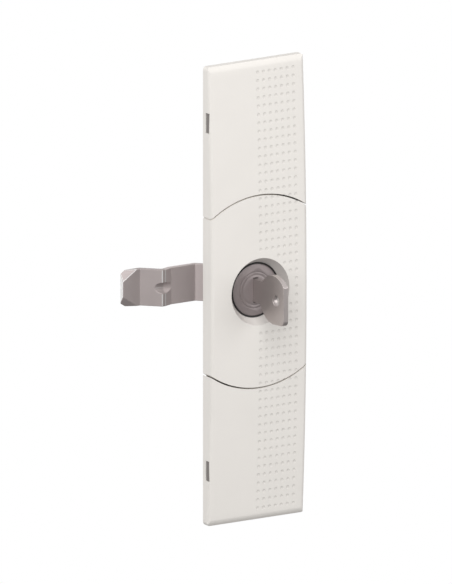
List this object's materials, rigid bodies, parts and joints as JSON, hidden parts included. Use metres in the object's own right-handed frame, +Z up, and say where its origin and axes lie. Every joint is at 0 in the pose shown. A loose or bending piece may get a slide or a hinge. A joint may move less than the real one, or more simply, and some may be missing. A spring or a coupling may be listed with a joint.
{
  "type": "enclosure door lock",
  "caption": "Slim white cover strip for an enclosure door with a key-operated cylinder lock in a round dish and a bent steel arm that turns behind the door.",
  "frame": {"origin": "on the lock's axis, in the plane of the frame's back, where it meets the door", "axes": "-Y out of the front towards the user, +Y through the door, +X to the user's right, +Z up along the strip"},
  "size_m": [0.0548, 0.0434, 0.1536],
  "materials": {
    "cover_plastic": "fine matt moulded surface, warm white",
    "frame_plastic": "moulded grey",
    "lock_metal": "satin nickel plating",
    "gasket_rubber": "black",
    "zinc_steel": "zinc plated",
    "key_steel": "satin nickel plating",
    "arm_steel": "satin zinc plating",
    "wafer_brass": "plain",
    "spring_steel": "bright"
  },
  "bodies": {
    "base": {"mounting_frame": "frame_plastic", "upper_cover": "cover_plastic", "centre_cover": "cover_plastic", "lower_cover": "cover_plastic", "lock_housing": "lock_metal", "head_gasket": "gasket_rubber", "housing_lock_washer": "zinc_steel", "housing_nut": "zinc_steel"},
    "plug": {"lock_plug": "lock_metal", "stop_disc": "zinc_steel", "cam_arm": "arm_steel", "cam_lock_washer": "zinc_steel", "cam_screw": "zinc_steel", "wafer_spring_1": "spring_steel", "wafer_spring_2": "spring_steel", "wafer_spring_3": "spring_steel", "wafer_spring_4": "spring_steel", "wafer_spring_5": "spring_steel"},
    "key": {"key": "key_steel"},
    "wafer_1": {"wafer_1": "wafer_brass"},
    "wafer_2": {"wafer_2": "wafer_brass"},
    "wafer_3": {"wafer_3": "wafer_brass"},
    "wafer_4": {"wafer_4": "wafer_brass"},
    "wafer_5": {"wafer_5": "wafer_brass"}
  },
  "joints": [
    {"name": "plug_turn", "type": "hinge", "parent": "base", "child": "plug", "pos_m": [0, 0, 0], "axis": [0, -1, 0], "range_deg": [0, 90]},
    {"name": "key_pull", "type": "slide", "parent": "plug", "child": "key", "axis": [0, -1, 0], "range_m": [0, 0.016]},
    {"name": "wafer_1_slide", "type": "slide", "parent": "plug", "child": "wafer_1", "axis": [0, 0, 1], "range_m": [0, 0.0006], "deforming": ["wafer_spring_1"]},
    {"name": "wafer_2_slide", "type": "slide", "parent": "plug", "child": "wafer_2", "axis": [0, 0, -1], "range_m": [0, 0.0006], "deforming": ["wafer_spring_2"]},
    {"name": "wafer_3_slide", "type": "slide", "parent": "plug", "child": "wafer_3", "axis": [0, 0, 1], "range_m": [0, 0.0006], "deforming": ["wafer_spring_3"]},
    {"name": "wafer_4_slide", "type": "slide", "parent": "plug", "child": "wafer_4", "axis": [0, 0, -1], "range_m": [0, 0.0006], "deforming": ["wafer_spring_4"]},
    {"name": "wafer_5_slide", "type": "slide", "parent": "plug", "child": "wafer_5", "axis": [0, 0, 1], "range_m": [0, 0.0006], "deforming": ["wafer_spring_5"]}
  ],
  "couplings": [
    {"joint": "wafer_1_slide", "follows": "key_pull", "ratio": 0.0375},
    {"joint": "wafer_2_slide", "follows": "key_pull", "ratio": 0.0375},
    {"joint": "wafer_3_slide", "follows": "key_pull", "ratio": 0.0375},
    {"joint": "wafer_4_slide", "follows": "key_pull", "ratio": 0.0375},
    {"joint": "wafer_5_slide", "follows": "key_pull", "ratio": 0.0375}
  ]
}
